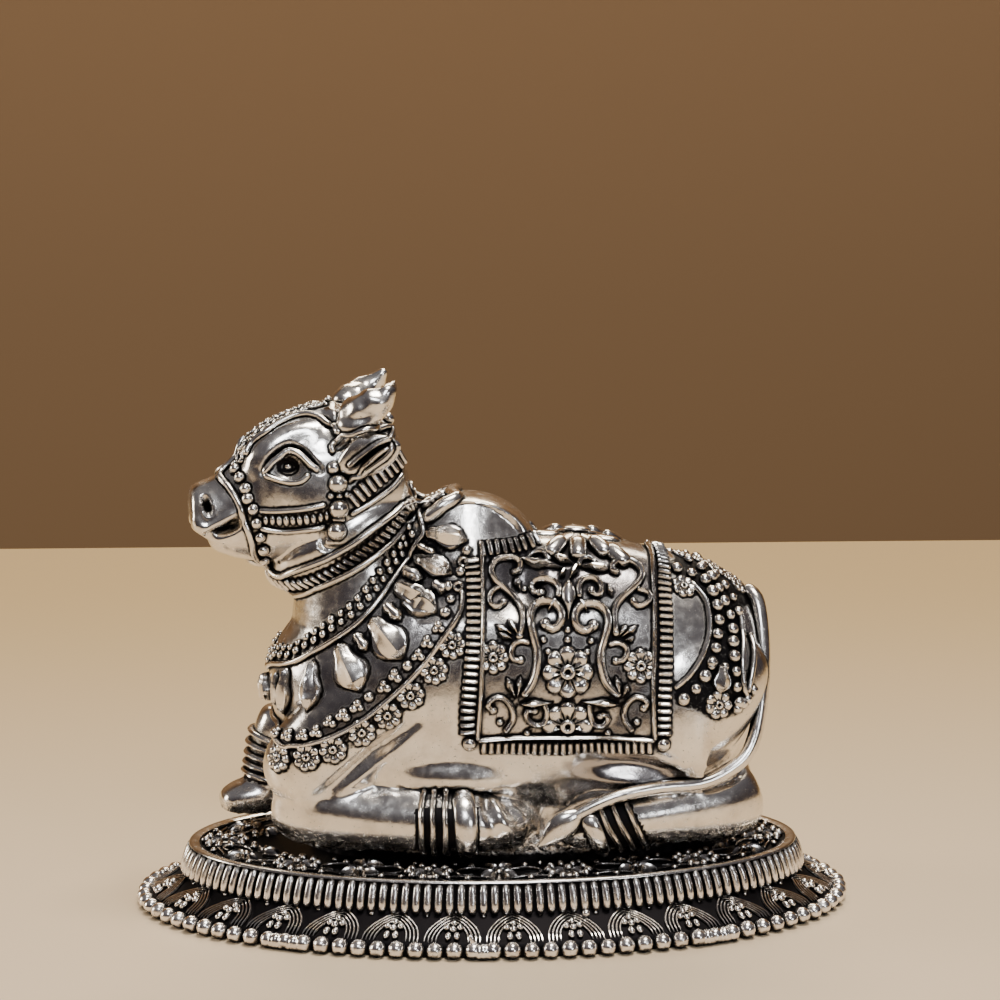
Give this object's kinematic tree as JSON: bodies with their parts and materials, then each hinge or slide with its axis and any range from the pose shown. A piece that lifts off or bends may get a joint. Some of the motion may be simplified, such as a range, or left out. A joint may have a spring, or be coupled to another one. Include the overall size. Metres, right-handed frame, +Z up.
{
  "type": "nandi bull figure",
  "caption": "Small recumbent temple bull with garlands, halter and an ornamented saddle cloth, lying on an oval beaded base. Antiqued silvered metal, faces -X.",
  "frame": {"origin": "middle of the oval base's underside", "axes": "+Z up, X along the bull with its head towards -X, Y across it; the flank seen in the picture faces -Y"},
  "size_m": [0.1094, 0.065, 0.0816],
  "materials": {
    "base_silver": "silver plate, darkened in the recesses",
    "bull_silver": "bright silver plate, polished on the high places and blackened in the recesses"
  },
  "bodies": {
    "root": {"oval_base": "base_silver", "bull_figure": "bull_silver"}
  },
  "joints": []
}
